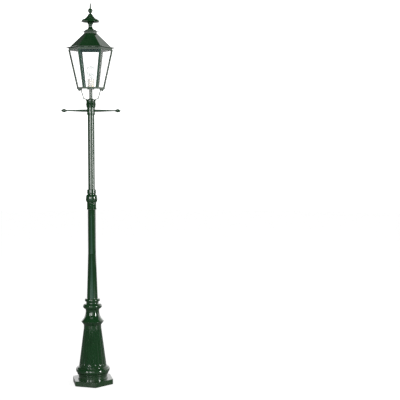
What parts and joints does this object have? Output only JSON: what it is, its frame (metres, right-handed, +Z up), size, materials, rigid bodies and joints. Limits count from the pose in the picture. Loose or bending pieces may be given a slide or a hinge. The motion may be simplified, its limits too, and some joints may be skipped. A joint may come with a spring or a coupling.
{
  "type": "street lamp",
  "caption": "Post-top street lamp: hexagonal glazed lantern with hinged roof, vent hood and finial on a turned post with ladder bar, knot and fluted pedestal.",
  "frame": {"origin": "centre of the plinth's underside, on the ground, on the post's axis", "axes": "+Z up along the post; the ladder bar lies along X; the front, with the set screw and the roof hinge, faces -Y"},
  "size_m": [0.38, 0.2778, 2.4587],
  "materials": {
    "green_iron": "dark green gloss paint over cast iron",
    "green_steel": "dark green gloss paint over steel",
    "clear_glass": "clear flat sheet",
    "bulb_glass": "clear blown",
    "bulb_stem_glass": "clear pressed",
    "filament": "drawn wire",
    "bulb_cap": "rolled, satin",
    "porcelain": "cream glazed porcelain",
    "brass": "rolled brass",
    "zinc_steel": "zinc plated",
    "seal": "matte black"
  },
  "bodies": {
    "post": {"foot_plate": "green_iron", "base_drum": "green_iron", "fluted_cone": "green_iron", "pedestal_neck": "green_iron", "flared_sleeve": "green_iron", "core_tube": "zinc_steel", "lower_shaft": "green_steel", "middle_knot": "green_iron", "upper_shaft": "green_steel", "head_socket": "green_iron", "socket_cap": "green_steel", "ladder_bar": "green_steel", "bar_end_left": "green_steel", "bar_end_right": "green_steel", "bar_set_screw": "green_steel", "stem_tube": "green_steel", "arm_left": "green_steel", "arm_right": "green_steel", "arm_bolts": "zinc_steel", "arm_nuts": "zinc_steel", "bottom_ring": "green_steel", "floor_plate": "green_steel", "corner_bars": "green_steel", "pane_1": "clear_glass", "pane_2": "clear_glass", "pane_3": "clear_glass", "pane_4": "clear_glass", "pane_5": "clear_glass", "pane_6": "clear_glass", "glazing_strips": "green_steel", "top_frame": "green_steel", "latch_bracket": "green_steel", "hinge_leaf_frame": "green_steel", "hinge_pin": "zinc_steel", "holder_base": "porcelain", "holder_collar": "porcelain", "holder_shell": "brass", "holder_contact": "brass", "holder_screws": "brass"},
    "roof": {"roof_shell": "green_steel", "eave_plate": "green_steel", "roof_seal": "seal", "roof_collar": "green_steel", "top_plate": "green_steel", "vent_neck": "green_steel", "hood": "green_steel", "finial_ball": "green_steel", "finial_spike": "green_steel", "tie_rod": "zinc_steel", "tie_bridge": "zinc_steel", "tie_nut": "zinc_steel", "hinge_leaf_roof": "green_steel"},
    "roof_screw_body": {"roof_screw": "zinc_steel"},
    "bulb": {"bulb_glass": "bulb_glass", "bulb_cap": "bulb_cap", "bulb_stem": "bulb_stem_glass", "bulb_filament": "filament"}
  },
  "joints": [
    {"name": "roof_hinge", "type": "hinge", "parent": "post", "child": "roof", "pos_m": [0, -0.12668, 2.171], "axis": [1, 0, 0], "range_deg": [0, 105]},
    {"name": "roof_screw_turn", "type": "hinge", "parent": "roof", "child": "roof_screw_body", "pos_m": [0, 0.12755, 2.175], "axis": [0, 0, 1], "continuous": true},
    {"name": "bulb_lift", "type": "slide", "parent": "post", "child": "bulb", "axis": [0, 0, 1], "range_m": [0, 0.03]}
  ]
}
